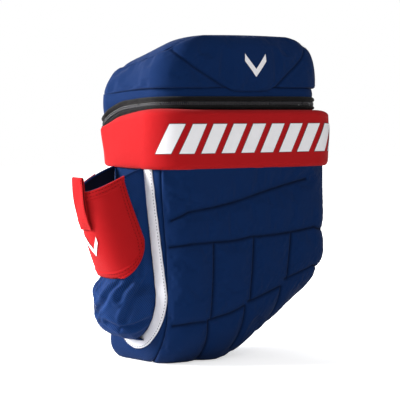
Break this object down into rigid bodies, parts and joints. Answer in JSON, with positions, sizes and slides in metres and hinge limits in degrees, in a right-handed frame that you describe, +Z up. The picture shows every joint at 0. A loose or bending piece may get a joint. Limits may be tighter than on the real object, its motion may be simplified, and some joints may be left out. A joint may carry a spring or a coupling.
{
  "type": "backpack",
  "caption": "Padded backpack shaped like a sports glove, with a zipped lid, a broad wrist band, a mesh side pocket in place of the thumb, and shoulder straps.",
  "frame": {"origin": "centre of the flat base that the bag stands on", "axes": "+Z up, -Y out of the decorated front, +Y towards the wearer's back, -X towards the side pocket"},
  "size_m": [0.3969, 0.2611, 0.4625],
  "materials": {
    "blue_fabric": "tightly woven matt polyester over foam, navy blue",
    "red_fabric": "finely ribbed stretch fabric over foam, bright red",
    "white_tape": "white woven binding tape with a stitched edge",
    "blue_mesh": "open knitted mesh, navy blue",
    "liner": "thin smooth lining, dark grey",
    "zip_tape": "black woven zip tape",
    "zip_teeth": "black moulded zip teeth",
    "zip_metal": "black painted metal",
    "black_plastic": "black moulded plastic",
    "black_webbing": "black woven webbing",
    "air_mesh": "black spacer mesh over foam"
  },
  "bodies": {
    "bag": {"front_panel": "blue_fabric", "side_panel_left": "blue_fabric", "side_panel_right": "blue_fabric", "back_panel": "blue_fabric", "base_panel": "blue_fabric", "hinge_cord": "blue_fabric", "strap_yoke": "blue_fabric", "wrist_band": "red_fabric", "pocket_collar": "red_fabric", "pocket_tape": "white_tape", "mesh_pocket": "blue_mesh", "liner": "liner", "zip_tape_lower": "zip_tape", "zip_teeth_lower": "zip_teeth", "frame_sheet": "black_plastic", "strap_anchor_top_left": "black_webbing", "strap_anchor_top_right": "black_webbing", "strap_anchor_low_left": "black_webbing", "strap_anchor_low_right": "black_webbing", "back_pad_left": "air_mesh", "back_pad_right": "air_mesh", "lumbar_pad": "air_mesh"},
    "lid": {"lid_wall": "blue_fabric", "lid_top": "blue_fabric", "lid_strip": "blue_fabric", "lid_back": "blue_fabric", "zip_tape_upper": "zip_tape", "zip_teeth_upper": "zip_teeth"},
    "slider_front_body": {"slider_front": "zip_metal"},
    "slider_rear_body": {"slider_rear": "zip_metal"},
    "pull_front_body": {"pull_front": "zip_metal"},
    "pull_rear_body": {"pull_rear": "zip_metal"},
    "pull_tab": {"pocket_pull_tab": "red_fabric"},
    "carry_loop": {"haul_loop": "black_webbing"},
    "strap_left": {"strap_root_left": "black_webbing", "strap_pad_left": "air_mesh", "ladder_lock_left": "black_plastic", "strap_web_left": "black_webbing"},
    "strap_right": {"strap_root_right": "black_webbing", "strap_pad_right": "air_mesh", "ladder_lock_right": "black_plastic", "strap_web_right": "black_webbing"},
    "tail_left": {"strap_tail_left": "black_webbing"},
    "tail_right": {"strap_tail_right": "black_webbing"}
  },
  "joints": [
    {"name": "lid_open", "type": "hinge", "parent": "bag", "child": "lid", "pos_m": [0.091, 0.09104, 0.35126], "axis": [-1, 0, 0], "range_deg": [0, 100]},
    {"name": "slider_front_slide", "type": "slide", "parent": "bag", "child": "slider_front_body", "axis": [0, -0.9961, 0.0883], "range_m": [0, 0.036]},
    {"name": "slider_rear_slide", "type": "slide", "parent": "bag", "child": "slider_rear_body", "axis": [0, 0.9961, -0.0883], "range_m": [0, 0.03]},
    {"name": "pull_front_swing", "type": "hinge", "parent": "slider_front_body", "child": "pull_front_body", "pos_m": [0.238, 0.00454, 0.35867], "axis": [0, 0.0883, 0.9961], "range_deg": [0, 80]},
    {"name": "pull_rear_swing", "type": "hinge", "parent": "slider_rear_body", "child": "pull_rear_body", "pos_m": [0.238, 0.02337, 0.357], "axis": [0, -0.0883, -0.9961], "range_deg": [0, 80]},
    {"name": "pocket_tab_flip", "type": "hinge", "parent": "bag", "child": "pull_tab", "pos_m": [-0.13446, -0.00712, 0.1904], "axis": [0, -1, 0], "range_deg": [0, 150]},
    {"name": "haul_loop_raise", "type": "hinge", "parent": "bag", "child": "carry_loop", "pos_m": [0.091, 0.09296, 0.30733], "axis": [1, 0, 0], "range_deg": [0, 95]},
    {"name": "strap_left_swing", "type": "hinge", "parent": "bag", "child": "strap_left", "pos_m": [0.037, 0.0965, 0.29382], "axis": [0.3182, 0.0648, 0.9458], "range_deg": [-15, 20]},
    {"name": "strap_right_swing", "type": "hinge", "parent": "bag", "child": "strap_right", "pos_m": [0.145, 0.0965, 0.29382], "axis": [0.3182, -0.0648, -0.9458], "range_deg": [-15, 20]},
    {"name": "tail_left_swing", "type": "hinge", "parent": "strap_left", "child": "tail_left", "pos_m": [-0.00642, 0.12411, 0.16475], "axis": [0.9478, 0, -0.3189], "range_deg": [-6, 70]},
    {"name": "tail_right_swing", "type": "hinge", "parent": "strap_right", "child": "tail_right", "pos_m": [0.18842, 0.12411, 0.16475], "axis": [0.9478, 0, 0.3189], "range_deg": [-6, 70]}
  ]
}
